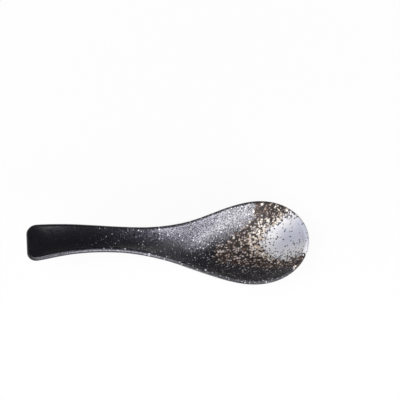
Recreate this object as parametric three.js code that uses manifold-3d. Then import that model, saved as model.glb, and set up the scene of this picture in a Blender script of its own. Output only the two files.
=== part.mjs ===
// A glazed stoneware soup spoon: a deep oval bowl, a raised, faintly dished handle and a flat unglazed foot.
// The clay is one fired piece. Three glazes lie on it: black all over, a band speckled with iron, and white
// at the tip. Units are millimetres, +Z is up, +X runs from the handle to the bowl's tip, and the origin is
// the centre of the foot's flat face, on the table.
import * as THREE from 'three';
import { mergeVertices } from 'three/addons/utils/BufferGeometryUtils.js';
import Module from 'manifold-3d';

const wasm = await Module();
wasm.setup();

// ---- Plan outline, finished glaze to finished glaze. A reach is measured from the centre of the foot.
const endReach = 119;
const neckReach = 67;
const widestReach = 15.5;
const tipReach = 45.9;
const endHalfWidth = 11.6;
const endCorner = 5.6;
const neckHalfWidth = 8.4;
const bowlHalfWidth = 27.7;
const tipHalfWidth = 13.2;       // how blunt the tip is: half the width that the tip's curve aims for
const crestInset = 28;           // from the handle's end to the crest of its gentle arch

// How far the outline runs straight on past each station, towards the tip and back towards the handle
const onward = { corner: 5.4, neck: 43.5, widest: 19 };
const backward = { neck: 21.3, widest: 23.7 };

// ---- Sections along the spoon. rim is the edge's height above the table, depth is how far the hollow lies
// under it, wall is the thickness under the hollow, and lip is the radius of the rounded edge. The shape of
// each wall follows its section: its fullness runs from 0, a shallow parabola, towards 1, a wall that meets
// the edge upright. Squareness is 2 for a round belly and 3 for a boxy one, and lean is how far a side leans
// in for each millimetre that it goes down.
const handleWalls = { inFull: 0.5, outFull: 0.99, square: 3 };
const bowlWalls = { inFull: 0.93, outFull: 0.965, square: 2 };
const sections = [
  { x: -endReach, rim: 38.7, depth: 1.4, wall: 4.9, lip: 1.7, lean: 0.25, ...handleWalls },
  { x: crestInset - endReach, rim: 40.1, depth: 1, wall: 6, lip: 1.8, lean: 0.25, ...handleWalls },
  { x: -neckReach, rim: 35.7, depth: 1, wall: 6.4, lip: 1.8, lean: 0.3, ...handleWalls },
  { x: -41, rim: 27, depth: 3.8, wall: 7.2, lip: 1.6, lean: 0.25, inFull: 0.75, outFull: 0.985, square: 2.5 },
  { x: -22, rim: 21.1, depth: 13.8, wall: 3.8, lip: 1.5, lean: 0.1, ...bowlWalls, inFull: 0.92 },
  { x: 3, rim: 18.4, depth: 14, wall: 3.1, lip: 1.5, lean: 0, ...bowlWalls },
  { x: 22, rim: 19.2, depth: 14.8, wall: 3.1, lip: 1.5, lean: 0, ...bowlWalls },
  { x: tipReach, rim: 21, depth: 16.6, wall: 3.1, lip: 1.5, lean: 0, ...bowlWalls },
];

// ---- Foot, glaze and the clearances between the solids
const footHalfLength = 25.5;
const footHalfWidth = 12;
const footChamfer = 0.5;
const bareMargin = 0.6;          // bare clay left between the foot and the edge of the glaze
const glazeThickness = 0.4;
const bond = 0.05;               // clearance between the clay and the glaze, and between two glazes
const dripHeight = 12.5;         // the pale glazes run over the rim and down the outside to this height
const ceiling = 80;              // any height above the spoon, for the solids that only cut

// ---- Where the glazes meet, seen from above. Both outlines run out past the rim at the tip.
const whiteOutline = [
  [20, 4], [23, 9.5], [24.5, 13.5], [28, 15.6], [31.5, 17.2], [36, 17.8], [41, 22], [50, 30],
  [57, 4], [52, -18], [43, -13], [36, -9.5], [29, -7.5], [23, -4],
];
const speckledOutline = [
  [15.5, 32], [14.5, 23], [12, 18.5], [7.5, 16], [0, 12.5], [-5.5, 8.2], [-10.5, 3.5], [-12, -1],
  [-8.5, -5.5], [0, -8.5], [9, -11.5], [16, -13.2], [24, -15], [31, -19], [37, -27], [54, -27],
  [64, 4], [56, 36], [34, 42],
];

// ---- How finely the surfaces are divided
const outlineSteps = { end: 2, corner: 4, handle: 6, flare: 10, tip: 14 };
const hollowSteps = 6;
const lipSteps = 5;
const bellySteps = 7;
const glazeEdgeSteps = 64;
const footSteps = 24;
const slopePasses = 20;
const weldDistance = 1e-3;

const { clamp, lerp } = THREE.MathUtils;

// ---- Smooth value of one section property at any x
function along(key, x) {
  const place = clamp(x, sections[0].x, sections.at(-1).x);
  const last = sections.length - 2;
  const found = sections.findIndex((section) => section.x > place) - 1;
  const i = found < 0 ? last : Math.min(found, last);
  const [a, b] = [sections[i], sections[i + 1]];
  const span = b.x - a.x;
  const t = (place - a.x) / span;
  const slopeA = slopeAt(key, i);
  const slopeB = slopeAt(key, i + 1);
  return (1 + 2 * t) * (1 - t) ** 2 * a[key] + t * (1 - t) ** 2 * span * slopeA
    + t * t * (3 - 2 * t) * b[key] + t * t * (t - 1) * span * slopeB;
}

function slopeAt(key, i) {
  const rise = (j) => (sections[j + 1][key] - sections[j][key]) / (sections[j + 1].x - sections[j].x);
  if (i === 0) return rise(0);
  if (i === sections.length - 1) return rise(i - 1);
  const before = sections[i].x - sections[i - 1].x;
  const after = sections[i + 1].x - sections[i].x;
  return (rise(i - 1) * after + rise(i) * before) / (before + after);
}

// ---- Plan outline: one half drawn as lines, an arc and curves, then mirrored
function planOutline() {
  const path = new THREE.Path();
  const corner = endHalfWidth - endCorner;
  path.moveTo(-endReach, 0);
  path.lineTo(-endReach, corner);
  path.absarc(-endReach + endCorner, corner, endCorner, Math.PI, Math.PI / 2, true);
  path.bezierCurveTo(
    -endReach + endCorner + onward.corner, endHalfWidth,
    -neckReach - backward.neck, neckHalfWidth,
    -neckReach, neckHalfWidth);
  path.bezierCurveTo(
    -neckReach + onward.neck, neckHalfWidth,
    widestReach - backward.widest, bowlHalfWidth,
    widestReach, bowlHalfWidth);
  path.bezierCurveTo(widestReach + onward.widest, bowlHalfWidth, tipReach, tipHalfWidth, tipReach, 0);
  const steps = Object.values(outlineSteps);
  const half = [new THREE.Vector2(-endReach, 0)];
  path.curves.forEach((curve, i) => half.push(...curve.getPoints(steps[i]).slice(1)));
  const mirrored = half.slice(1, -1).map((point) => new THREE.Vector2(point.x, -point.y));
  return [...half, ...mirrored.reverse()];
}

// ---- A rib is one cut through the wall, from the spine of the bowl or handle out to a point of the outline
function ribAt(planPoint) {
  const spine = new THREE.Vector2(clamp(planPoint.x, -endReach + endHalfWidth, widestReach), 0);
  const outward = planPoint.clone().sub(spine);
  const reach = outward.length();
  outward.normalize();
  const lip = along('lip', planPoint.x);
  const rim = along('rim', planPoint.x);
  const floor = along('rim', spine.x) - along('depth', spine.x);
  const wall = along('wall', spine.x);
  const edge = { reach, rim, lip };
  const hollow = meetLip(1, { ...edge, floor, full: along('inFull', spine.x), square: 2, lean: 0 });
  const belly = meetLip(-1, {
    ...edge, floor: floor - wall, lean: along('lean', spine.x),
    full: along('outFull', spine.x), square: along('square', spine.x),
  });
  const place = (distance, height) =>
    new THREE.Vector3(spine.x + outward.x * distance, outward.y * distance, height);
  return { reach, rim, lip, wall, hollow, belly, place };
}

// How far a wall has risen at the share s of its run from the spine
function risen(s, full, square) {
  const curve = (t) => 1 - (1 - t ** square) ** (1 / square);
  return curve(full * s) / curve(full);
}

// A wall and the round lip meet where both have the same slope. side is 1 inside and -1 outside.
function meetLip(side, { reach, rim, lip, floor, full, square, lean }) {
  const nearRim = 0.999;
  const slope = (1 - risen(nearRim, full, square)) / (1 - nearRim);
  let angle = 0;
  let run;
  let rise;
  for (let pass = 0; pass < slopePasses; pass += 1) {
    run = reach - lip - side * lip * Math.sin(angle);
    rise = rim - lip + side * lip * Math.cos(angle) - floor;
    angle = Math.atan2(1, run / (slope * rise) + lean);
  }
  const heightAt = (s) => floor + rise * risen(s, full, square);
  const distanceAt = (s) => s * (run - lean * (floor + rise - heightAt(s)));
  return { angle, run, heightAt, distanceAt };
}

// Shares from 0 at the spine to 1 at the lip, closer together near the lip where the wall bends most
function shares(steps) {
  return Array.from({ length: steps + 1 }, (_, i) => Math.sin((i / steps) * Math.PI / 2));
}

function finishedRib(planPoint) {
  const { reach, rim, lip, hollow, belly, place } = ribAt(planPoint);
  const wallOf = (side, steps) => shares(steps).map((s) => place(side.distanceAt(s), side.heightAt(s)));
  const inside = wallOf(hollow, hollowSteps);
  const outside = wallOf(belly, bellySteps).reverse();
  const round = [];
  for (let i = 1; i < lipSteps; i += 1) {
    const turn = lerp(Math.PI / 2 + hollow.angle, belly.angle - Math.PI / 2, i / lipSteps);
    round.push(place(reach - lip + lip * Math.cos(turn), rim - lip + lip * Math.sin(turn)));
  }
  return [...inside, ...round, ...outside];
}

// The space above the middle of the wall, used to cut what belongs to the inside of the spoon
function insideRib(planPoint) {
  const { wall, hollow, place } = ribAt(planPoint);
  const under = shares(hollowSteps).map((s) => place(hollow.run * s, hollow.heightAt(s) - wall / 2));
  return [place(0, ceiling), place(hollow.run, ceiling), ...under.reverse()];
}

// ---- Closed mesh through a ring of ribs
function loft(ribs) {
  const rows = ribs[0].length;
  const geometry = new THREE.BufferGeometry().setFromPoints(ribs.flat());
  const index = [];
  ribs.forEach((_, i) => {
    const next = (i + 1) % ribs.length;
    for (let j = 0; j < rows - 1; j += 1) {
      const [a, b, c, d] = [i * rows + j, next * rows + j, next * rows + j + 1, i * rows + j + 1];
      index.push(a, b, c, a, c, d);
    }
  });
  geometry.setIndex(index);
  return welded(geometry);
}

function welded(geometry) {
  geometry.deleteAttribute('normal');
  geometry.deleteAttribute('uv');
  const joined = mergeVertices(geometry, weldDistance);
  const kept = [];
  const index = joined.index.array;
  for (let i = 0; i < index.length; i += 3) {
    const [a, b, c] = index.subarray(i, i + 3);
    if (a !== b && b !== c && c !== a) kept.push(a, b, c);
  }
  joined.setIndex(kept);
  return joined;
}

// The same surface moved inwards, square to itself
function sunk(geometry, distance) {
  const moved = geometry.clone();
  moved.computeVertexNormals();
  const { position, normal } = moved.attributes;
  for (let i = 0; i < position.count; i += 1) {
    position.setXYZ(
      i,
      position.getX(i) - normal.getX(i) * distance,
      position.getY(i) - normal.getY(i) * distance,
      position.getZ(i) - normal.getZ(i) * distance,
    );
  }
  moved.deleteAttribute('normal');
  return moved;
}

// ---- Solids
function solid(geometry) {
  const clean = welded(geometry);
  return new wasm.Manifold(new wasm.Mesh({
    numProp: 3,
    vertProperties: new Float32Array(clean.attributes.position.array),
    triVerts: new Uint32Array(clean.index.array),
  }));
}

function footOval(margin) {
  const oval = new THREE.Shape();
  oval.absellipse(0, 0, footHalfLength + margin, footHalfWidth + margin, 0, Math.PI * 2);
  return oval;
}

// A column with the foot's outline, its lower edge chamfered, that starts on the table
function footColumn() {
  return solid(new THREE.ExtrudeGeometry(footOval(0), {
    depth: ceiling / 2, curveSegments: footSteps, bevelEnabled: true, bevelSegments: 1,
    bevelThickness: footChamfer, bevelSize: footChamfer, bevelOffset: -footChamfer,
  }).translate(0, 0, footChamfer));
}

// A wider column round it that starts below the table, where no glaze is left
function bareColumn() {
  return solid(new THREE.ExtrudeGeometry(footOval(bareMargin), {
    depth: ceiling, curveSegments: footSteps, bevelEnabled: false,
  }).translate(0, 0, -ceiling / 2));
}

// A closed outline through the given corners, moved outwards by the margin
function glazeEdge(corners, margin) {
  const loop = new THREE.CatmullRomCurve3(corners.map(([x, y]) => new THREE.Vector3(x, y, 0)), true);
  const area = THREE.ShapeUtils.area(corners.map(([x, y]) => new THREE.Vector2(x, y)));
  const outwards = Math.sign(area) * margin;
  const points = [];
  for (let i = 0; i < glazeEdgeSteps; i += 1) {
    const point = loop.getPointAt(i / glazeEdgeSteps);
    const tangent = loop.getTangentAt(i / glazeEdgeSteps);
    points.push(new THREE.Vector2(point.x + tangent.y * outwards, point.y - tangent.x * outwards));
  }
  return new THREE.Shape(points);
}

// Everything within an outline that is on the inside of the spoon, or outside it but above the drip height
function glazeZone(corners, margin, insideSpace) {
  const column = (bottom) => solid(new THREE.ExtrudeGeometry(glazeEdge(corners, margin), {
    depth: ceiling / 2, bevelEnabled: false,
  }).translate(0, 0, bottom));
  return column(0).intersect(insideSpace).add(column(dripHeight - margin));
}

// ---- Build
const outline = planOutline();
const finishedSurface = loft(outline.map(finishedRib));
const insideSpace = solid(loft(outline.map(insideRib)));
const finished = solid(finishedSurface.clone());
const underGlaze = solid(sunk(finishedSurface, glazeThickness));
const clayForm = solid(sunk(finishedSurface, glazeThickness + bond));

const clay = clayForm.add(footColumn().subtract(insideSpace));
const glazeSkin = finished.subtract(underGlaze).subtract(bareColumn().subtract(insideSpace));
const speckledCut = glazeZone(speckledOutline, bond, insideSpace);
const whiteCut = glazeZone(whiteOutline, bond, insideSpace);
const black = glazeSkin.subtract(speckledCut);
const speckled = glazeSkin.intersect(glazeZone(speckledOutline, 0, insideSpace)).subtract(whiteCut);
const white = glazeSkin.intersect(glazeZone(whiteOutline, 0, insideSpace));

function node(name, body, look) {
  const { vertProperties, triVerts } = body.getMesh();
  const geometry = new THREE.BufferGeometry();
  geometry.setAttribute('position', new THREE.BufferAttribute(vertProperties, 3));
  geometry.setIndex(new THREE.BufferAttribute(triVerts, 1));
  geometry.computeVertexNormals();
  const mesh = new THREE.Mesh(geometry, new THREE.MeshStandardMaterial({ metalness: 0, ...look }));
  mesh.name = name;
  return mesh;
}

const spoon = new THREE.Group();
spoon.add(
  node('stoneware_body', clay, { color: 0xa08a72, roughness: 0.85 }),
  node('black_glaze_coat', black, { color: 0x1b1b20, roughness: 0.3 }),
  node('speckled_brown_glaze', speckled, { color: 0x6b5446, roughness: 0.4 }),
  node('white_glaze_tip', white, { color: 0xd3d6e2, roughness: 0.3 }),
);

export default spoon;
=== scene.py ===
"""A glazed stoneware soup spoon on a white table, modelled round its CAD frame.

The clay, the black glaze, the speckled band and the white tip are four meshes cut from one smooth surface.
Lengths are millimetres unless they are marked as metres, and +X runs from the handle to the tip.
"""
import math
from typing import NamedTuple

import bpy
import numpy as np
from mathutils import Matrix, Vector, noise
from mathutils.kdtree import KDTree


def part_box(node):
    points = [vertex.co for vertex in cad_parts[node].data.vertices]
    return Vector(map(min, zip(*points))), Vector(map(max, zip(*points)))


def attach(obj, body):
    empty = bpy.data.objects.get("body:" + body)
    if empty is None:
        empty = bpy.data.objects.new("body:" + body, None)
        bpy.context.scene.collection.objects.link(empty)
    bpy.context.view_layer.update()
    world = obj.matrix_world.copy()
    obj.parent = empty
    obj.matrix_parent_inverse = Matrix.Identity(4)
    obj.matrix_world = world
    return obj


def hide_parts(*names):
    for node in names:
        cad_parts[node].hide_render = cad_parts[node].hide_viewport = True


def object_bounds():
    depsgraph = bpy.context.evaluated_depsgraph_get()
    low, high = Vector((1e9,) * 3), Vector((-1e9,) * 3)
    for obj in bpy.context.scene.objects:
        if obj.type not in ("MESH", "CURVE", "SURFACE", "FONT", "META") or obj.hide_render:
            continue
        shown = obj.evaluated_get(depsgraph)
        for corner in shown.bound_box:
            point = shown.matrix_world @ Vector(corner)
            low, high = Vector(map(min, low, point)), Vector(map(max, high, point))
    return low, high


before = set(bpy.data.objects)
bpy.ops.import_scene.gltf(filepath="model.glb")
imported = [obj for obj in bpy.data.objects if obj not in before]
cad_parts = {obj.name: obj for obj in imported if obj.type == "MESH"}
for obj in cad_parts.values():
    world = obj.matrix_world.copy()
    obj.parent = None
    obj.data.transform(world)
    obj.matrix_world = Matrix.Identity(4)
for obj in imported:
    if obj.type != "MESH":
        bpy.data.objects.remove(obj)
CAD_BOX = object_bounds()
MM = 0.001


def box_mm(node):
    """The low and high corners of a CAD node, in millimetres."""
    low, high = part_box(node)
    return np.array(low) / MM, np.array(high) / MM


# ---------------------------------------------------------------------------------------------------------
# Shape: the outline and the sections of the CAD model, with the overall sizes read from the frame
# ---------------------------------------------------------------------------------------------------------
COAT_LOW, COAT_HIGH = box_mm("black_glaze_coat")
END_REACH = -COAT_LOW[0]
TIP_REACH = box_mm("white_glaze_tip")[1][0]
BOWL_HALF_WIDTH = COAT_HIGH[1]
NECK_REACH = 67
WIDEST_REACH = 15.5
END_HALF_WIDTH = 11.6
END_CORNER = 5.6
NECK_HALF_WIDTH = 8.4
TIP_HALF_WIDTH = 13.2            # how blunt the tip is
CREST_INSET = 28                 # from the handle's end to the crest of its arch

# How far the outline runs straight on past each station, towards the tip and back towards the handle
ONWARD = {"corner": 5.4, "neck": 43.5, "widest": 19}
BACKWARD = {"neck": 21.3, "widest": 23.7}

# Sections along the spoon: x, rim height, depth of the hollow, wall under it and lip radius, then the shape
# of the walls. Inner and outer fullness are 0 for a parabola, and up to 1 for a wall upright at its edge.
# Squareness is 2 for a round belly and 3 for a boxy one. Lean is how far a side leans in for each mm down.
SECTIONS = np.array([
    (-END_REACH, 38.7, 1.4, 4.9, 1.7, 0.5, 0.99, 3, 0.25),
    (CREST_INSET - END_REACH, 40.1, 1, 6, 1.8, 0.5, 0.99, 3, 0.25),
    (-NECK_REACH, 35.7, 1, 6.4, 1.8, 0.5, 0.99, 3, 0.3),
    (-41, 27, 3.8, 7.2, 1.6, 0.75, 0.985, 2.5, 0.25),
    (-22, 21.1, 13.8, 3.8, 1.5, 0.92, 0.965, 2, 0.1),
    (3, 18.4, 14, 3.1, 1.5, 0.93, 0.965, 2, 0),
    (22, 19.2, 14.8, 3.1, 1.5, 0.93, 0.965, 2, 0),
    (TIP_REACH, 21, 16.6, 3.1, 1.5, 0.93, 0.965, 2, 0),
])
RIM, DEPTH, WALL, LIP, IN_FULL, OUT_FULL, SQUARE, LEAN = range(1, 9)

GLAZE = 0.4                      # how thick the glazes are
BOND = 0.05                      # from the glazes' underside to the clay
FOOT_HALF_LENGTH = 25.5
FOOT_HALF_WIDTH = 12
DRIP_HEIGHT = 12.5               # the pale glazes run down the outside to about here

# Where the pale glazes lie, seen from above. Both outlines run out past the rim at the tip.
WHITE_OUTLINE = [
    (20, 4), (23, 9.5), (24.5, 13.5), (28, 15.6), (31.5, 17.2), (36, 17.8), (41, 22), (50, 30),
    (57, 4), (52, -18), (43, -13), (36, -9.5), (29, -7.5), (23, -4),
]
SPECKLED_OUTLINE = [
    (15.5, 32), (14.5, 23), (12, 18.5), (7.5, 16), (0, 12.5), (-5.5, 8.2), (-10.5, 3.5), (-12, -1),
    (-8.5, -5.5), (0, -8.5), (9, -11.5), (16, -13.2), (24, -15), (31, -19), (37, -27), (54, -27),
    (64, 4), (56, 36), (34, 42),
]

# How finely the surface is divided: along each stretch of half the outline, and from the spine to the rim
OUTLINE_STEPS = {"end": 8, "corner": 12, "handle": 62, "flare": 92, "tip": 108}
HOLLOW_STEPS = 56
LIP_STEPS = 14
BELLY_STEPS = 48
FINER = 2                        # the pale glazes have this many times the rows and columns of the rest
SLOPE_PASSES = 20


def along(column, x):
    """Smooth value of one section property at every x."""
    xs = SECTIONS[:, 0]
    values = SECTIONS[:, column]
    spans = np.diff(xs)
    rises = np.diff(values) / spans
    slopes = np.empty(len(xs))
    slopes[0] = rises[0]
    slopes[-1] = rises[-1]
    slopes[1:-1] = (rises[:-1] * spans[1:] + rises[1:] * spans[:-1]) / (spans[:-1] + spans[1:])
    place = np.clip(x, xs[0], xs[-1])
    i = np.clip(np.searchsorted(xs, place, side="right") - 1, 0, len(xs) - 2)
    span = spans[i]
    t = (place - xs[i]) / span
    start = (1 + 2 * t) * (1 - t) ** 2 * values[i] + t * (1 - t) ** 2 * span * slopes[i]
    end = t * t * (3 - 2 * t) * values[i + 1] + t * t * (t - 1) * span * slopes[i + 1]
    return start + end


def bezier(corners, steps):
    a, b, c, d = [np.array(corner, float) for corner in corners]
    t = np.linspace(0, 1, steps + 1)[:, None]
    return (1 - t) ** 3 * a + 3 * (1 - t) ** 2 * t * b + 3 * (1 - t) * t * t * c + t ** 3 * d


def plan_outline(refine):
    """The outline seen from above, as a closed ring of points that starts at the handle's end."""
    steps = {name: count * refine for name, count in OUTLINE_STEPS.items()}
    corner_y = END_HALF_WIDTH - END_CORNER
    end_y = np.linspace(0, corner_y, steps["end"] + 1)
    end = np.column_stack([np.full_like(end_y, -END_REACH), end_y])
    turn = np.linspace(0, math.pi / 2, steps["corner"] + 1)
    corner = np.column_stack([
        -END_REACH + END_CORNER * (1 - np.cos(turn)), corner_y + END_CORNER * np.sin(turn)])
    start_x = -END_REACH + END_CORNER
    neck = (-NECK_REACH, NECK_HALF_WIDTH)
    widest = (WIDEST_REACH, BOWL_HALF_WIDTH)
    handle = bezier([
        (start_x, END_HALF_WIDTH), (start_x + ONWARD["corner"], END_HALF_WIDTH),
        (neck[0] - BACKWARD["neck"], neck[1]), neck], steps["handle"])
    flare = bezier([
        neck, (neck[0] + ONWARD["neck"], neck[1]),
        (widest[0] - BACKWARD["widest"], widest[1]), widest], steps["flare"])
    tip = bezier([
        widest, (widest[0] + ONWARD["widest"], widest[1]),
        (TIP_REACH, TIP_HALF_WIDTH), (TIP_REACH, 0)], steps["tip"])
    half = np.vstack([end, corner[1:], handle[1:], flare[1:], tip[1:]])
    mirrored = (half * (1, -1))[1:-1][::-1]
    return np.vstack([half, mirrored])


def risen(share, full, square):
    """How far a wall has risen at a share of its run from the spine."""
    top = 1 - (1 - full ** square) ** (1 / square)
    return (1 - (1 - (full * share) ** square) ** (1 / square)) / top


def meet_lip(side, reach, rim, lip, floor, full, square, lean):
    """Where a wall and the round lip have the same slope. side is 1 inside and -1 outside."""
    near_rim = 0.999
    slope = (1 - risen(near_rim, full, square)) / (1 - near_rim)
    angle = np.zeros_like(reach)
    for _ in range(SLOPE_PASSES):
        run = reach - lip - side * lip * np.sin(angle)
        rise = rim - lip + side * lip * np.cos(angle) - floor
        angle = np.arctan2(1, run / (slope * rise) + lean)
    return angle, run, rise


def finished_surface(refine):
    """The glazed surface as rows of points: row 0 is the hollow's spine, the last is the belly's."""
    plan = plan_outline(refine)
    spine_x = np.clip(plan[:, 0], -END_REACH + END_HALF_WIDTH, WIDEST_REACH)
    spine = np.column_stack([spine_x, np.zeros_like(spine_x)])
    outward = plan - spine
    reach = np.linalg.norm(outward, axis=1)
    outward = outward / reach[:, None]
    rim = along(RIM, plan[:, 0])
    lip = along(LIP, plan[:, 0])
    floor = along(RIM, spine_x) - along(DEPTH, spine_x)
    under = floor - along(WALL, spine_x)
    in_full = along(IN_FULL, spine_x)
    out_full = along(OUT_FULL, spine_x)
    square = along(SQUARE, spine_x)
    lean = along(LEAN, spine_x)
    in_angle, in_run, in_rise = meet_lip(1, reach, rim, lip, floor, in_full, 2, 0)
    out_angle, out_run, out_rise = meet_lip(-1, reach, rim, lip, under, out_full, square, lean)
    rows = []
    for share in np.linspace(0, 1, HOLLOW_STEPS * refine + 1):
        rows.append((in_run * share, floor + in_rise * risen(share, in_full, 2)))
    for share in np.linspace(0, 1, LIP_STEPS * refine + 1)[1:-1]:
        turn = (math.pi / 2 + in_angle) * (1 - share) + (out_angle - math.pi / 2) * share
        rows.append((reach - lip + lip * np.cos(turn), rim - lip + lip * np.sin(turn)))
    for share in np.sin(np.linspace(1, 0, BELLY_STEPS * refine + 1) * math.pi / 2):
        up = risen(share, out_full, square)
        rows.append((share * (out_run - lean * out_rise * (1 - up)), under + out_rise * up))
    points = np.empty((len(rows), len(plan), 3))
    for row, (distance, height) in enumerate(rows):
        points[row, :, :2] = spine + outward * distance[:, None]
        points[row, :, 2] = height
    return points


def diagonal_products(points):
    """For each cell of a grid, a vector along its outward normal that is twice its area long."""
    after = np.roll(points, -1, axis=1)
    return np.cross(after[1:] - points[:-1], points[1:] - after[:-1])


class Grid:
    """Rows of points that close into rings. Points in the same place share one number."""

    def __init__(self, points):
        self.points = points
        keys = np.round(points.reshape(-1, 3), 4)
        _, self.first, numbers = np.unique(keys, axis=0, return_index=True, return_inverse=True)
        self.numbers = numbers.reshape(points.shape[:2])

    def once(self, values):
        """Of values that fill the grid, the one for each number."""
        return values.reshape(-1, *values.shape[2:])[self.first]

    def spread(self, values):
        """Values that belong to the numbers, laid out over the grid."""
        return values[self.numbers]

    def gathered(self, values):
        """For each number, the sum of the values of the cells round it."""
        after = np.roll(self.numbers, -1, axis=1)
        total = np.zeros((len(self.first), *values.shape[2:]))
        for corners in (self.numbers[:-1], after[:-1], self.numbers[1:], after[1:]):
            np.add.at(total, corners, values)
        return total

    def normals(self, points):
        """For each number, the smooth outward normal once the grid's points have moved to these places."""
        total = self.gathered(diagonal_products(points))
        return total / np.linalg.norm(total, axis=1)[:, None]

    def areas(self):
        """The surface area that belongs to each number, in square millimetres."""
        cell_areas = np.linalg.norm(diagonal_products(self.points), axis=2) / 2
        return self.gathered(cell_areas / 4)


# ---------------------------------------------------------------------------------------------------------
# Where each glaze lies
# ---------------------------------------------------------------------------------------------------------
def smooth_loop(corners, steps_between=8):
    """A closed curve through the corners."""
    corners = np.array(corners, float)
    before, after, beyond = (np.roll(corners, shift, axis=0) for shift in (1, -1, -2))
    loop = []
    for t in np.arange(steps_between) / steps_between:
        loop.append(0.5 * (2 * corners + (after - before) * t
                           + (2 * before - 5 * corners + 4 * after - beyond) * t * t
                           + (3 * corners - before - 3 * after + beyond) * t ** 3))
    return np.stack(loop, axis=1).reshape(-1, 2)


def depth_inside(loop, x, y):
    """Distance from plan points to the loop, positive inside it."""
    nearest = np.full(x.shape, np.inf)
    inside = np.zeros(x.shape, bool)
    for (x0, y0), (x1, y1) in zip(loop, np.roll(loop, -1, axis=0)):
        dx, dy = x1 - x0, y1 - y0
        px, py = x - x0, y - y0
        t = np.clip((px * dx + py * dy) / (dx * dx + dy * dy), 0, 1)
        nearest = np.minimum(nearest, np.hypot(px - t * dx, py - t * dy))
        if dy:
            inside ^= ((y < y0) != (y < y1)) & (px < dx * py / dy)
    return np.where(inside, nearest, -nearest)


def smoothstep(low, high, value):
    t = np.clip((value - low) / (high - low), 0, 1)
    return t * t * (3 - 2 * t)


def lumps(points, size, seed):
    """Smooth noise from -1 to 1 at each point, whose lumps are about the given size."""
    shift = Vector((seed * 17.3, seed * 5.1, seed * 9.7))
    flat = points.reshape(-1, 3) / size
    values = [noise.noise(Vector(point) + shift) for point in flat.tolist()]
    return np.array(values).reshape(points.shape[:-1])


SCATTER = 4                      # stray granules lie up to this far outside the band
WHITE_RUN = 1.5                  # the white glaze stops this far above the drip height
BAND_RUN = 2.5                   # the band's granules go this far below it


def glaze_depths(points, outside):
    """How far each point lies inside the white glaze and inside the speckled band."""
    x, y, z = np.moveaxis(points, -1, 0)
    ragged = lumps(points, 4.5, 1) * 1.3 + lumps(points, 1.7, 2) * 0.6
    white_run = np.where(outside, z - DRIP_HEIGHT - WHITE_RUN, np.inf)
    band_run = np.where(outside, z - DRIP_HEIGHT + BAND_RUN, np.inf)
    white = np.minimum(depth_inside(smooth_loop(WHITE_OUTLINE), x, y), white_run)
    band = np.minimum(depth_inside(smooth_loop(SPECKLED_OUTLINE), x, y), band_run)
    return white + ragged, band + ragged


# ---------------------------------------------------------------------------------------------------------
# Granules: each is a low dome of melted glaze with its own size and colour
# ---------------------------------------------------------------------------------------------------------
SEED = 11
BROWNS = [
    (0.05, 0.026, 0.016), (0.1, 0.056, 0.034), (0.18, 0.115, 0.075),
    (0.03, 0.015, 0.009), (0.14, 0.075, 0.04),
]
CREAMS = [(0.84, 0.77, 0.65), (0.68, 0.58, 0.47), (0.52, 0.42, 0.32), (0.9, 0.86, 0.78)]
GREYS = [(0.74, 0.66, 0.59), (0.5, 0.43, 0.39), (0.6, 0.54, 0.52), (0.33, 0.265, 0.23)]
PALES = [(0.8, 0.77, 0.72), (0.72, 0.71, 0.7), (0.62, 0.63, 0.67)]
DARKS = [(0.012, 0.01, 0.009), (0.03, 0.018, 0.012), (0.02, 0.02, 0.022)]
WARM_WHITE = np.array((0.82, 0.81, 0.8))
COOL_WHITE = np.array((0.55, 0.57, 0.645))
UMBER = np.array((0.014, 0.008, 0.006))      # the ground that the band's granules lie in
WHITE_RISE = 0.05                # the white glaze stands this far over the others
OUTSIDE_SHADE = 0.4              # the share of its paleness that the white loses outside, where it is thin
SMALL_BIAS = 1.8                 # over 1, so that small granules are commoner than large ones
SHADES = (0.75, 1.15)            # each granule's colour is its palette's times a number between these
WOBBLE = 0.35                    # how far a granule's outline strays from round
GRANULE_EDGE = (1.1, 0.85)       # a granule's colour comes in between these shares of its radius
FRINGE = 1.4                     # a granule reaches this many of its radii at most
OUTSIDE_LOSS = 0.8               # the share of the granules that is missing outside


class Granules(NamedTuple):
    """One kind of granule. Lengths are millimetres."""
    palette: list
    density: float               # granules to the square millimetre, where they are thickest
    radii: tuple
    dome: float                  # how far the largest ones stand up, or sink in where negative
    chance: np.ndarray           # how thickly they lie at each point, from 0 to 1


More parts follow.
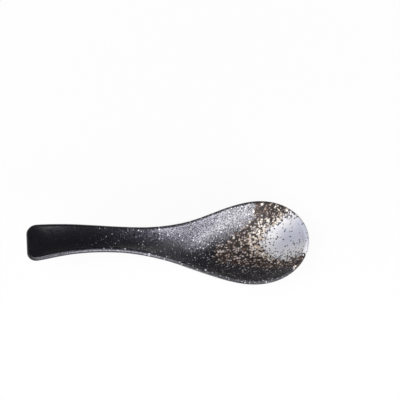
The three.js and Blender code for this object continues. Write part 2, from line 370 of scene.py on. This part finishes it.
def granule_kinds(points, outside, white, band):
    """The kinds of granule, in the order in which they fell, each over those before it."""
    y = points[:, 1]
    inside = 1 - OUTSIDE_LOSS * outside
    on_white = smoothstep(0, 3, white)
    in_band = smoothstep(-0.5, 4, band) * smoothstep(1, -1, white)
    round_band = smoothstep(-5, 1, band) * smoothstep(2.5, 0, white)
    creamy = smoothstep(-13, -1, white) * smoothstep(-12, 2, y) * smoothstep(21, 15, y) * inside
    off_rims = 0.4 + 0.6 * smoothstep(-18, -8, y) - 0.5 * smoothstep(15, 20, y)
    far_side = smoothstep(12, 16, y)
    shore = smoothstep(-3, -0.5, white) * smoothstep(4, 0.5, white) * smoothstep(16, 12, y) * inside
    near_shore = smoothstep(-3, 0.5, white) * smoothstep(6, 0.5, white) * (0.2 + 0.8 * smoothstep(5, -4, y))
    white_far_rim = smoothstep(0, 1, white) * smoothstep(12, 19, y)
    return [
        Granules(BROWNS, 0.45, (0.3, 0.75), 0.05, in_band * inside),
        Granules(DARKS, 0.4, (0.3, 0.65), 0.03, in_band),
        Granules(GREYS, 0.32, (0.28, 0.62), 0.07, in_band * off_rims * inside),
        Granules(CREAMS, 0.46, (0.4, 1.25), 0.12, in_band * creamy),
        Granules(CREAMS, 0.5, (0.3, 0.68), 0.09, in_band * (0.15 + 0.85 * creamy) * off_rims * inside),
        Granules(BROWNS + DARKS, 0.45, (0.28, 0.6), 0.04, in_band * (0.3 + 0.7 * creamy)),
        Granules(CREAMS, 0.12, (0.35, 0.75), 0.1, in_band * far_side * inside),
        Granules(DARKS, 0.4, (0.3, 0.6), 0.02, in_band * far_side * inside),
        Granules(GREYS, 0.08, (0.25, 0.5), 0.05, round_band * inside),
        Granules(PALES, 0.8, (0.3, 0.9), 0.07, shore),
        Granules(DARKS, 0.6, (0.3, 0.58), -0.02, near_shore),
        Granules(DARKS, 1.2, (0.34, 0.7), -0.02, white_far_rim),
        Granules(DARKS, 0.13, (0.32, 0.55), -0.02, on_white),
    ]


def point_tree(points):
    tree = KDTree(len(points))
    for index, point in enumerate(points):
        tree.insert(point, index)
    tree.balance()
    return tree


def painted(areas, points, outside, white, band):
    """Colour, cover and height of the pale glazes at every point of the painted end."""
    rng = np.random.default_rng(SEED)
    white_cover = smoothstep(-0.3, 0.9, white)
    cover = np.maximum(white_cover, smoothstep(0, 4, band))
    deep = smoothstep(1, 13, white + 2 * lumps(points, 6, 6))[:, None]
    white_tint = (WARM_WHITE * (1 - deep) + COOL_WHITE * deep) * (1 - OUTSIDE_SHADE * outside[:, None])
    tint = UMBER + (white_tint - UMBER) * white_cover[:, None]
    height = WHITE_RISE * white_cover
    wobble = 1 + WOBBLE * lumps(points, 0.5, 5)
    tree = point_tree(points)
    for kind in granule_kinds(points, outside, white, band):
        weight = areas * kind.chance
        count = int(weight.sum() * kind.density)
        small, large = kind.radii
        for place in rng.choice(len(points), size=count, p=weight / weight.sum()):
            radius = small + (large - small) * rng.random() ** SMALL_BIAS
            shade = np.array(kind.palette[rng.integers(len(kind.palette))]) * rng.uniform(*SHADES)
            found = tree.find_range(points[place], radius * FRINGE)
            near = np.array([index for _, index, _ in found])
            share = np.array([distance for _, _, distance in found]) / radius / wobble[near]
            edge = smoothstep(*GRANULE_EDGE, share)
            tint[near] += (shade - tint[near]) * edge[:, None]
            cover[near] += (1 - cover[near]) * edge
            height[near] += kind.dome * radius / large * np.sqrt(np.clip(1 - share ** 2, 0, 1))
    return tint, cover, height


# ---------------------------------------------------------------------------------------------------------
# Meshes
# ---------------------------------------------------------------------------------------------------------
def add_piece(name, node, material, vertices, faces, normals=None):
    """A smooth mesh that stands for a CAD node. Without normals of its own it gets them from its faces."""
    used, places = np.unique(np.concatenate([np.array(face) for face in faces]), return_inverse=True)
    ends = np.cumsum([len(face) for face in faces])[:-1]
    mesh = bpy.data.meshes.new(name)
    mesh.from_pydata((vertices[used] * MM).tolist(), [], [part.tolist() for part in np.split(places, ends)])
    mesh.materials.append(material)
    mesh.shade_smooth()
    if normals is None:
        mesh.set_sharp_from_angle(angle=SHARP_ANGLE)
    else:
        mesh.normals_split_custom_set_from_vertices(normals[used].tolist())
    piece = bpy.data.objects.new(name, mesh)
    bpy.context.collection.objects.link(piece)
    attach(piece, "root")
    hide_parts(node)
    return piece, used


def without_doubles(faces):
    """Drops corners that fell together, and faces with fewer than three left."""
    kept = []
    for face in faces:
        corners = tuple(corner for k, corner in enumerate(face) if corner != face[k - 1])
        if len(corners) >= 3:
            kept.append(corners)
    return kept


def cell_edges(row, column, rows, columns):
    """For each side of a grid cell: its two corners, in the cell's own turn, and the cell beyond it."""
    after = (column + 1) % columns
    across = columns - 1 - column       # over the spine, the column of cells that mirrors this one
    corners = [(row, column), (row, column + 1), (row + 1, column + 1), (row + 1, column)]
    beyond = [
        (row - 1, column) if row else (0, across), (row, after),
        (row + 1, column) if row < rows - 1 else (row, across), (row, column - 1)]
    return [(corners[k], corners[(k + 1) % 4], beyond[k]) for k in range(4)]


def skin_faces(mask, outer, inner, finer):
    """Faces of a closed skin over the masked cells: its outside, its underside and the walls round its edge.

    outer and inner number the points of the two surfaces. outer has finer times as many rows and columns.
    """
    rows, columns = mask.shape
    fine_columns = columns * finer
    faces = []
    for row, column in np.argwhere(mask):
        after = (column + 1) % columns
        for r in range(row * finer, (row + 1) * finer):
            for c in range(column * finer, (column + 1) * finer):
                d = (c + 1) % fine_columns
                faces.append((outer[r, c], outer[r, d], outer[r + 1, d], outer[r + 1, c]))
        faces.append((inner[row + 1, column], inner[row + 1, after], inner[row, after], inner[row, column]))
        for (r0, c0), (r1, c1), beyond in cell_edges(row, column, rows, columns):
            if mask[beyond]:
                continue
            top = [outer[r0 * finer + (r1 - r0) * m, (c0 * finer + (c1 - c0) * m) % fine_columns]
                   for m in range(finer + 1)]
            faces.append((*top[::-1], inner[r0, c0 % columns], inner[r1, c1 % columns]))
    return without_doubles(faces)


def footed_faces(foot_cells, numbers):
    """Faces of the clay. numbers holds the points' numbers at each level, from the belly down."""
    rows, columns = foot_cells.shape
    faces = []
    for row, column in np.ndindex(rows, columns):
        in_foot = foot_cells[row, column]
        level = numbers[-1 if in_foot else 0]
        after = (column + 1) % columns
        faces.append((level[row, column], level[row, after], level[row + 1, after], level[row + 1, column]))
        if not in_foot:
            continue
        for (r0, c0), (r1, c1), beyond in cell_edges(row, column, rows, columns):
            if foot_cells[beyond]:
                continue
            c0, c1 = c0 % columns, c1 % columns
            for upper, lower in zip(numbers, numbers[1:]):
                faces.append((lower[r1, c1], lower[r0, c0], upper[r0, c0], upper[r1, c1]))
    return without_doubles(faces)


# ---------------------------------------------------------------------------------------------------------
# The foot, and the cells that each glaze covers
# ---------------------------------------------------------------------------------------------------------
BARE_MARGIN = 0.6                # bare clay between the foot and the edge of the glaze


def oval_share(points, margin):
    """0 at the foot's centre and 1 on its outline moved out by the margin, seen from above."""
    x, y = points[..., 0], points[..., 1]
    return np.hypot(x / (FOOT_HALF_LENGTH + margin), y / (FOOT_HALF_WIDTH + margin))


def cells_over_foot(points, outside, margin):
    """Which cells of the outside lie over the foot, or over it and a margin round it."""
    after = np.roll(points, -1, axis=1)
    centres = (points[:-1] + points[1:] + after[:-1] + after[1:]) / 4
    return outside[:-1, None] & (oval_share(centres, margin) < 1)


def glaze_cells(points, outside, white, band):
    """Which cells each glaze covers, from how far the middle of each cell lies inside the pale glazes."""
    in_white = white > 0
    in_band = ~in_white & (band > -SCATTER)
    bare = cells_over_foot(points, outside, BARE_MARGIN)
    return {"white": in_white, "band": in_band, "bare": bare, "black": ~(in_white | in_band | bare)}


def snapped_to_oval(points, normals, cells, margin):
    """Moves the points on the edge of the cells along the surface until they lie on the foot's outline."""
    wide = np.pad(cells, ((1, 1), (0, 0)), mode="edge")
    beside = np.stack([wide[:-1], wide[1:], np.roll(wide[:-1], 1, axis=1), np.roll(wide[1:], 1, axis=1)])
    on_edge = beside.any(axis=0) & ~beside.all(axis=0)
    moved = points.copy()
    shift = points[on_edge, :2] * (1 / oval_share(points[on_edge], margin)[:, None] - 1)
    normal = normals[on_edge]
    moved[on_edge, :2] += shift
    moved[on_edge, 2] -= (normal[:, :2] * shift).sum(axis=1) / normal[:, 2]
    return moved


# ---------------------------------------------------------------------------------------------------------
# Materials
# ---------------------------------------------------------------------------------------------------------
def new_material(name, **inputs):
    """An empty material with a Principled shader, and the inputs that are the same all over it."""
    material = bpy.data.materials.new(name)
    material.use_nodes = True
    shader = material.node_tree.nodes["Principled BSDF"]
    for key, value in inputs.items():
        shader.inputs[key.replace("_", " ")].default_value = value
    return material, shader


class Nodes:
    """Adds nodes to one material."""

    def __init__(self, material):
        self.tree = material.node_tree
        coordinates = self.add("ShaderNodeTexCoord").outputs
        self.place = coordinates["Object"]
        self.normal = coordinates["Normal"]

    def add(self, kind, inputs=(), **settings):
        """A new node. Its inputs are linked where they are given a socket, and set where a value."""
        node = self.tree.nodes.new(kind)
        for key, value in settings.items():
            setattr(node, key, value)
        for key, value in dict(inputs).items():
            if isinstance(value, bpy.types.NodeSocket):
                self.link(value, node.inputs[key])
            else:
                node.inputs[key].default_value = value
        return node

    def link(self, output, target):
        self.tree.links.new(output, target)

    def plan(self):
        """The place's x and y, in millimetres."""
        split = self.add("ShaderNodeSeparateXYZ", {"Vector": self.place}).outputs
        return self.math("DIVIDE", split["X"], MM), self.math("DIVIDE", split["Y"], MM)

    def upness(self):
        """1 where the surface faces straight up and -1 where it faces straight down."""
        return self.add("ShaderNodeSeparateXYZ", {"Vector": self.normal}).outputs["Z"]

    def noise(self, size, detail=2, roughness=0.5):
        """Noise whose lumps are about size millimetres across, from 0 to 1."""
        inputs = {"Vector": self.place, "Scale": 1 / (size * MM), "Detail": detail, "Roughness": roughness}
        return self.add("ShaderNodeTexNoise", inputs).outputs["Fac"]

    def math(self, operation, a, b=0.0):
        return self.add("ShaderNodeMath", {0: a, 1: b}, operation=operation).outputs[0]

    def product(self, first, *others):
        for other in others:
            first = self.math("MULTIPLY", first, other)
        return first

    def ramp(self, value, low, high, start=0.0, end=1.0):
        """Turns low..high into start..end, held at both ends."""
        inputs = {"Value": value, "From Min": low, "From Max": high, "To Min": start, "To Max": end}
        return self.add("ShaderNodeMapRange", inputs).outputs["Result"]

    def mix(self, share, a, b):
        """Mixes two colours."""
        return self.add("ShaderNodeMix", {0: share, 6: a, 7: b}, data_type="RGBA").outputs[2]

    def blend(self, share, a, b):
        """Mixes two numbers."""
        return self.add("ShaderNodeMix", {0: share, 2: a, 3: b}, data_type="FLOAT").outputs[0]

    def specks(self, spacing, radius, chance):
        """Round specks in a share of the cells that are spacing millimetres across. 1 inside a speck."""
        cells = self.add("ShaderNodeTexVoronoi", {"Vector": self.place, "Scale": 1 / (spacing * MM)})
        pick = self.add("ShaderNodeSeparateColor", {"Color": cells.outputs["Color"]})
        size = self.ramp(pick.outputs["Green"], 0, 1, radius / spacing * 0.5, radius / spacing)
        inside = self.ramp(self.math("SUBTRACT", size, cells.outputs["Distance"]), 0, 0.05)
        return self.product(inside, self.math("LESS_THAN", pick.outputs["Red"], chance))

    def bump(self, height, distance):
        """A normal bent by a height that is distance millimetres at 1."""
        inputs = {"Height": height, "Distance": distance * MM, "Strength": 1.0}
        return self.add("ShaderNodeBump", inputs).outputs["Normal"]


GLAZE_IOR = 1.55
GLAZE_BUMP = 0.05                # millimetres
BLACKS = [(0.0015, 0.0015, 0.0025, 1), (0.0045, 0.004, 0.007, 1)]
# colours of the pale mist, which stands partly for real pale dusting and partly for painted sheen
MIST_AND_SHEEN_COLOURS = [(0.37, 0.36, 0.46, 1), (0.41, 0.41, 0.43, 1)]          # on the handle and in the bowl
SPECK_TONES = [(0.55, 0.53, 0.57, 1), (0.95, 0.93, 0.94, 1)]
SPRAY_AND_SHEEN_FROM = (0.2, -0.75, 0.63)  # the pale mist and its painted sheen lie thickest where the glaze faces this way, towards the lights
LIP_HIGHLIGHT = 0.3               # how pale the painted highlight makes the handle's near lip

# Pale specks: spacing, radius, the share of places with one at the handle and in the bowl, and strength
SPECKS = [
    (0.6, 0.24, 0.0, 0.45, 0.25),
    (1.1, 0.38, 0.05, 0.5, 0.75),
    (1.7, 0.56, 0.0, 0.5, 1.0),
]
CLAYS = [(0.34, 0.275, 0.215, 1), (0.43, 0.35, 0.275, 1)]
CLAY_GRAIN = (0.23, 0.17, 0.125, 1)
IRON_SPOT = (0.09, 0.055, 0.04, 1)


def mist_and_sheen_share(nodes, x, y):
    """How much pale mist and painted sheen lie on the black glaze: none at the handle's end, most on the
    bowl's far wall, with a painted highlight along the handle's near lip.
    """
    turned = nodes.add("ShaderNodeVectorMath", {0: nodes.normal, 1: SPRAY_AND_SHEEN_FROM}, operation="DOT_PRODUCT")
    to_spray_and_sheen = turned.outputs["Value"]
    # painted sheen: the mist is thickest where the glaze faces the lights and on the bowl's far wall
    facing_light = nodes.math("POWER", nodes.ramp(to_spray_and_sheen, 0.33, 0.95), 2.0)
    upward = nodes.ramp(nodes.upness(), 0.0, 0.2)
    mist_and_sheen_edge = nodes.ramp(x, -32, -10, -8.5, 10)
    far_side = nodes.ramp(nodes.math("SUBTRACT", y, mist_and_sheen_edge), -6, 6)
    # painted shade too: the mist fades out towards the handle's end, which is darker
    along_spoon = nodes.math("POWER", nodes.ramp(x, -END_REACH, -15), 3.2)
    past_heel = nodes.ramp(x, -10, 8, 1, 0.8)
    mist_and_sheen = nodes.product(along_spoon, past_heel, far_side, facing_light, upward)
    # a painted highlight along the handle's near lip, where the glaze faces the lights
    lip_highlight = nodes.product(nodes.ramp(to_spray_and_sheen, 0.9, 1.0), nodes.ramp(x, -30, -45, 0, LIP_HIGHLIGHT))
    return nodes.math("MAXIMUM", mist_and_sheen, lip_highlight)


def speck_share(nodes, x, y):
    """Where the pale specks lie: in the bowl above all, fewer towards its near rim, and least underneath."""
    share = 0.0
    for spacing, radius, at_handle, in_bowl, strength in SPECKS:
        layer = nodes.specks(spacing, radius, nodes.ramp(x, -100, 0, at_handle, in_bowl))
        share = nodes.math("MAXIMUM", share, nodes.product(layer, strength))
    along_spoon = nodes.ramp(x, -90, -20, 0.05, 1)
    from_near_rim = nodes.ramp(y, -24, -16, 0.5, 1)
    upward = nodes.ramp(nodes.upness(), -0.3, 0.3, 0.4, 1)
    return nodes.product(share, along_spoon, from_near_rim, upward)


def black_glaze_look(nodes):
    """Colour, roughness and height of the black glaze with its mist and painted sheen and its pale specks.
    """
    x, y = nodes.plan()
    grain = nodes.ramp(nodes.noise(0.8, detail=3), 0.4, 0.6, 0.05, 1)
    mist_and_sheen = nodes.product(mist_and_sheen_share(nodes, x, y), grain)
    specks = speck_share(nodes, x, y)
    colour = nodes.mix(nodes.noise(9, detail=3), *BLACKS)
    colour = nodes.mix(mist_and_sheen, colour, nodes.mix(nodes.ramp(x, -60, 0), *MIST_AND_SHEEN_COLOURS))
    colour = nodes.mix(specks, colour, nodes.mix(nodes.ramp(nodes.noise(1.5), 0.35, 0.6), *SPECK_TONES))
    satin = nodes.ramp(nodes.noise(1.2, detail=3), 0.3, 0.7, 0.28, 0.42)
    dull_near_rim = nodes.product(nodes.ramp(x, -20, 10, 0, 0.25), nodes.ramp(y, -18, -12, 1, 0))
    roughness = nodes.math("ADD", satin, dull_near_rim)
    height = nodes.math("ADD", nodes.noise(0.9, detail=3), nodes.product(specks, 0.5))
    return colour, roughness, height


def black_glaze():
    material, shader = new_material("black_glaze", IOR=GLAZE_IOR)
    nodes = Nodes(material)
    colour, roughness, height = black_glaze_look(nodes)
    nodes.link(colour, shader.inputs["Base Color"])
    nodes.link(roughness, shader.inputs["Roughness"])
    nodes.link(nodes.bump(height, GLAZE_BUMP), shader.inputs["Normal"])
    return material


def painted_glaze(name, roughness):
    """Pale glazes over the black one, coloured by the granules stored in the mesh."""
    material, shader = new_material(name, IOR=GLAZE_IOR)
    nodes = Nodes(material)
    under, under_roughness, under_height = black_glaze_look(nodes)
    paint = nodes.add("ShaderNodeAttribute", attribute_name=PAINT).outputs
    crumble = nodes.noise(0.35, detail=3)
    frayed = nodes.math("ADD", paint["Alpha"], nodes.ramp(crumble, 0.2, 0.8, -0.3, 0.3))
    cover = nodes.ramp(frayed, 0.35, 0.65)
    mottle = nodes.ramp(nodes.noise(0.6), 0.25, 0.75, 0.82, 1.12)
    tint = nodes.add("ShaderNodeVectorMath", {0: paint["Color"], "Scale": mottle}, operation="SCALE")
    satin = nodes.ramp(nodes.noise(0.8, detail=3), 0.3, 0.7, *roughness)
    height = nodes.blend(cover, under_height, nodes.product(crumble, 0.6))
    nodes.link(nodes.mix(cover, under, tint.outputs[0]), shader.inputs["Base Color"])
    nodes.link(nodes.blend(cover, under_roughness, satin), shader.inputs["Roughness"])
    nodes.link(nodes.bump(height, GLAZE_BUMP), shader.inputs["Normal"])
    return material


def bare_clay():
    material, shader = new_material("bare_clay", Roughness=0.85)
    nodes = Nodes(material)
    grain = nodes.noise(0.5, detail=4, roughness=0.65)
    colour = nodes.mix(nodes.noise(6, detail=3), *CLAYS)
    colour = nodes.mix(nodes.ramp(grain, 0.55, 0.75), colour, CLAY_GRAIN)
    colour = nodes.mix(nodes.specks(1.1, 0.18, 0.25), colour, IRON_SPOT)
    nodes.link(colour, shader.inputs["Base Color"])
    nodes.link(nodes.bump(grain, 0.08), shader.inputs["Normal"])
    return material


# ---------------------------------------------------------------------------------------------------------
# The spoon
# ---------------------------------------------------------------------------------------------------------
PAINT = "paint"
PAINT_REACH = SCATTER + 1        # the paint is worked out this far outside the band
BAND_ROUGHNESS = (0.5, 0.68)
TIP_ROUGHNESS = (0.28, 0.45)
SHARP_ANGLE = math.radians(40)
SWELLS = [(0.05, 7, 3), (0.012, 2.2, 4)]     # height, breadth and seed of the glaze's swells and ripples
ROLL = 0.25                      # the glaze thins by this much where it ends beside the foot
ROLL_WIDTH = 1.4                 # how far from its edge it starts to thin
FOOT_LEVELS = [(0, 0.5), (0.15, 0.15), (0.5, 0)]     # inset and height of each ring down to the table


class Layers(NamedTuple):
    """The surface that the four pieces share, on a fine grid and on a coarse one."""
    fine: Grid
    coarse: Grid
    outside: np.ndarray          # which rows of the coarse grid are outside
    cells: dict                  # which cells of the coarse grid each glaze covers
    normals: np.ndarray          # outward normals on the coarse grid
    glazed: np.ndarray           # the glazes' upper side, at each number of the fine grid
    glazed_normals: np.ndarray
    paint: np.ndarray            # colour and cover of the pale glazes, at each number of the fine grid

    def undersides(self):
        """The places and normals of the glazes' underside, on the coarse grid."""
        return self.coarse.points - self.normals * GLAZE, -self.normals


def swell(points, outside):
    """How far the glaze stands over or under its even surface, without its granules."""
    height = sum(rise * lumps(points, size, seed) for rise, size, seed in SWELLS)
    edge = (oval_share(points, BARE_MARGIN) - 1) * FOOT_HALF_WIDTH / ROLL_WIDTH
    return height - ROLL * np.where(outside[:, None], smoothstep(1, 0, edge), 0)


def painted_grid(grid, outside, white, band):
    """Colour and cover of the pale glazes and the height of their granules, at each number of the grid."""
    picked = np.unique(grid.numbers[band > -PAINT_REACH])
    outside_points = np.broadcast_to(outside[:, None], grid.numbers.shape)
    inputs = [grid.once(values)[picked] for values in (grid.points, outside_points, white, band)]
    tint, cover, relief = painted(grid.areas()[picked], *inputs)
    paint = np.zeros((len(grid.first), 4))
    paint[picked, :3] = tint
    paint[picked, 3] = cover
    height = np.zeros(len(grid.first))
    height[picked] = relief
    return paint, height


def surface_layers():
    """Shapes the surface, lays out the glazes on it and scatters the granules."""
    fine = Grid(finished_surface(FINER))
    coarse = Grid(fine.points[::FINER, ::FINER])
    outside = np.arange(len(fine.points)) > FINER * (HOLLOW_STEPS + LIP_STEPS // 2)
    white, band = glaze_depths(fine.points, outside[:, None])
    middles = np.s_[1::FINER, 1::FINER]
    cells = glaze_cells(coarse.points, outside[::FINER], white[middles], band[middles])
    even_normals = fine.normals(fine.points)
    paint, relief = painted_grid(fine, outside, white, band)
    height = fine.once(swell(fine.points, outside)) + relief
    glazed = fine.once(fine.points) + even_normals * height[:, None]
    return Layers(
        fine=fine,
        coarse=coarse,
        outside=outside[::FINER],
        cells=cells,
        normals=fine.spread(even_normals)[::FINER, ::FINER],
        glazed=glazed,
        glazed_normals=fine.normals(fine.spread(glazed)),
        paint=paint,
    )


def make_pale_glaze(layers, mask, roughness, name, node, slot):
    """One of the painted glazes: its upper side on the fine grid and its underside on the coarse one."""
    coarse = layers.coarse
    under, under_normals = layers.undersides()
    vertices = np.vstack([layers.glazed, coarse.once(under)])
    normals = np.vstack([layers.glazed_normals, coarse.once(under_normals)])
    faces = skin_faces(mask, layers.fine.numbers, coarse.numbers + len(layers.glazed), FINER)
    piece, used = add_piece(name, node, painted_glaze(slot, roughness), vertices, faces, normals)
    stored = np.zeros((len(used), 4), np.float32)
    on_top = used < len(layers.paint)
    stored[on_top] = layers.paint[used[on_top]]
    colours = piece.data.color_attributes.new(PAINT, "FLOAT_COLOR", "POINT")
    colours.data.foreach_set("color", stored.ravel())


def make_speckled_band(layers):
    mask = layers.cells["band"]
    make_pale_glaze(layers, mask, BAND_ROUGHNESS, "speckled_band", "speckled_brown_glaze", "speckled_glaze")


def make_white_tip(layers):
    mask = layers.cells["white"]
    make_pale_glaze(layers, mask, TIP_ROUGHNESS, "white_tip", "white_glaze_tip", "white_glaze")


def make_black_coat(layers):
    """The black glaze, which ends in an oval round the foot."""
    fine, coarse, bare = layers.fine, layers.coarse, layers.cells["bare"]
    top = fine.spread(layers.glazed)[::FINER, ::FINER]
    top_normals = fine.spread(layers.glazed_normals)[::FINER, ::FINER]
    under, under_normals = layers.undersides()
    top = snapped_to_oval(top, layers.normals, bare, BARE_MARGIN)
    under = snapped_to_oval(under, layers.normals, bare, BARE_MARGIN)
    vertices = np.vstack([coarse.once(top), coarse.once(under)])
    normals = np.vstack([coarse.once(top_normals), coarse.once(under_normals)])
    faces = skin_faces(layers.cells["black"], coarse.numbers, coarse.numbers + len(coarse.first), 1)
    add_piece("black_coat", "black_glaze_coat", black_glaze(), vertices, faces, normals)


def make_clay_body(layers):
    """The clay under the glazes, with a foot in rings that step down to the table."""
    coarse = layers.coarse
    foot_cells = cells_over_foot(coarse.points, layers.outside, 0)
    clay = coarse.points - layers.normals * (GLAZE + BOND)
    levels = [snapped_to_oval(clay, layers.normals, foot_cells, 0)]
    for inset, z in FOOT_LEVELS:
        shrink = (1 - inset / FOOT_HALF_LENGTH, 1 - inset / FOOT_HALF_WIDTH, 0)
        levels.append(levels[0] * shrink + (0, 0, z))
    vertices = np.vstack([coarse.once(level) for level in levels])
    faces = footed_faces(foot_cells, [coarse.numbers + k * len(coarse.first) for k in range(len(levels))])
    add_piece("clay_body", "stoneware_body", bare_clay(), vertices, faces)


# ---------------------------------------------------------------------------------------------------------
# Table, light and camera
# ---------------------------------------------------------------------------------------------------------
TABLE_RADIUS = 5.0               # metres
TABLE_CLEARANCE = 0.00005        # metres under the foot
TABLE_WHITE = 0.9
TABLE_SIDES = 96
BACKDROP_SHARE = 0.93            # how much of the table's look is plain white near the spoon
MIRRORED_SHARE = 0.35            # the same where the table is seen reflected in the glaze
SHADOW_REACH = (120, 420)        # from here to here the table turns plain white

VIEW_ELEVATION = math.radians(60)
VIEW_YAW = math.radians(5)       # the bowl's end is turned this far away from the camera
VIEW_DISTANCE = 900
LENS = 135
AIM_RIGHT = 17.8                 # the point that the camera looks at, from the middle of the spoon's length
AIM_UP = 37.5

# Softboxes: azimuth and elevation in degrees, width and height in metres, and power in watts. The key stands
# low at the near right and lights the bowl's far wall. The fill hangs high at the near left.
SOFTBOX_DISTANCE = 0.9           # metres
SOFTBOXES = {
    "key": (-65, 18, 0.8, 0.62, 13.0),
    "fill": (-138, 56, 0.5, 0.5, 5.5),
}
LAMP_TINT = (0.96, 0.95, 1.0)
ROOM = (0.06, 0.06, 0.065, 1)
WALL_FADE = (0.12, 0.5)          # sines of the elevations between which the white walls fade


def white_table():
    """Plain white, but round the spoon the light and its shadow count for a share of the look."""
    material = bpy.data.materials.new("white_table")
    material.use_nodes = True
    material.node_tree.nodes.clear()
    nodes = Nodes(material)
    path = nodes.add("ShaderNodeLightPath").outputs
    away = nodes.add("ShaderNodeVectorMath", {0: nodes.place}, operation="LENGTH").outputs["Value"]
    near, far = (reach * MM for reach in SHADOW_REACH)
    reflected = nodes.math("MAXIMUM", path["Is Glossy Ray"], path["Is Transmission Ray"])
    seen_share = nodes.product(nodes.ramp(away, near, far, BACKDROP_SHARE, 1), path["Is Camera Ray"])
    mirrored_share = nodes.product(nodes.ramp(away, near, far, MIRRORED_SHARE, 1), reflected)
    share = nodes.math("MAXIMUM", seen_share, mirrored_share)
    lit = nodes.add("ShaderNodeBsdfDiffuse", {"Color": (TABLE_WHITE, TABLE_WHITE, TABLE_WHITE, 1)})
    white = nodes.add("ShaderNodeEmission", {"Color": (1, 1, 1, 1), "Strength": 1.0})
    both = nodes.add("ShaderNodeMixShader", {0: share, 1: lit.outputs[0], 2: white.outputs[0]})
    output = nodes.add("ShaderNodeOutputMaterial")
    nodes.link(both.outputs[0], output.inputs["Surface"])
    return material


def make_table():
    turn = np.linspace(0, 2 * math.pi, TABLE_SIDES, endpoint=False)
    rim = [(TABLE_RADIUS * math.cos(a), TABLE_RADIUS * math.sin(a), -TABLE_CLEARANCE) for a in turn]
    mesh = bpy.data.meshes.new("table_top")
    mesh.from_pydata(rim, [], [tuple(range(len(rim)))])
    table = bpy.data.objects.new("table_top", mesh)
    bpy.context.collection.objects.link(table)
    mesh.materials.append(white_table())


def make_room():
    """A dim studio whose walls are white near the table's level."""
    world = bpy.data.worlds.new("studio")
    bpy.context.scene.world = world
    world.use_nodes = True
    tree = world.node_tree
    background = tree.nodes["Background"]
    coordinates = tree.nodes.new("ShaderNodeTexCoord")
    split = tree.nodes.new("ShaderNodeSeparateXYZ")
    ramp = tree.nodes.new("ShaderNodeValToRGB")
    tree.links.new(coordinates.outputs["Generated"], split.inputs[0])
    tree.links.new(split.outputs["Z"], ramp.inputs["Fac"])
    tree.links.new(ramp.outputs["Color"], background.inputs["Color"])
    ramp.color_ramp.elements[0].position = WALL_FADE[0]
    ramp.color_ramp.elements[0].color = (1, 1, 1, 1)
    ramp.color_ramp.elements[1].position = WALL_FADE[1]
    ramp.color_ramp.elements[1].color = ROOM


def direction(azimuth, elevation):
    """The unit vector towards an azimuth from +X and an elevation, both in radians."""
    level = math.cos(elevation)
    return Vector((level * math.cos(azimuth), level * math.sin(azimuth), math.sin(elevation)))


def make_lights():
    for name, (azimuth, elevation, width, height, power) in SOFTBOXES.items():
        light = bpy.data.lights.new(name, "AREA")
        light.shape = "RECTANGLE"
        light.size, light.size_y = width, height
        light.energy = power
        light.color = LAMP_TINT
        towards = direction(math.radians(azimuth), math.radians(elevation))
        softbox = bpy.data.objects.new(name, light)
        softbox.location = towards * SOFTBOX_DISTANCE
        softbox.rotation_euler = towards.to_track_quat("Z", "Y").to_euler()
        bpy.context.collection.objects.link(softbox)


def make_camera():
    low, high = (np.array(corner) / MM for corner in CAD_BOX)
    middle = Vector(((low[0] + high[0]) / 2, 0, 0))
    back = direction(-math.pi / 2 - VIEW_YAW, VIEW_ELEVATION)
    turn = back.to_track_quat("Z", "Y")
    aim = middle + turn @ Vector((AIM_RIGHT, AIM_UP, 0))
    camera = bpy.data.objects.new("camera", bpy.data.cameras.new("camera"))
    camera.data.lens = LENS
    camera.location = (aim + back * VIEW_DISTANCE) * MM
    camera.rotation_euler = turn.to_euler()
    bpy.context.collection.objects.link(camera)
    bpy.context.scene.camera = camera


layers = surface_layers()
make_speckled_band(layers)
make_white_tip(layers)
make_black_coat(layers)
make_clay_body(layers)
make_table()
make_room()
make_lights()
make_camera()
bpy.context.scene.view_settings.view_transform = "Standard"
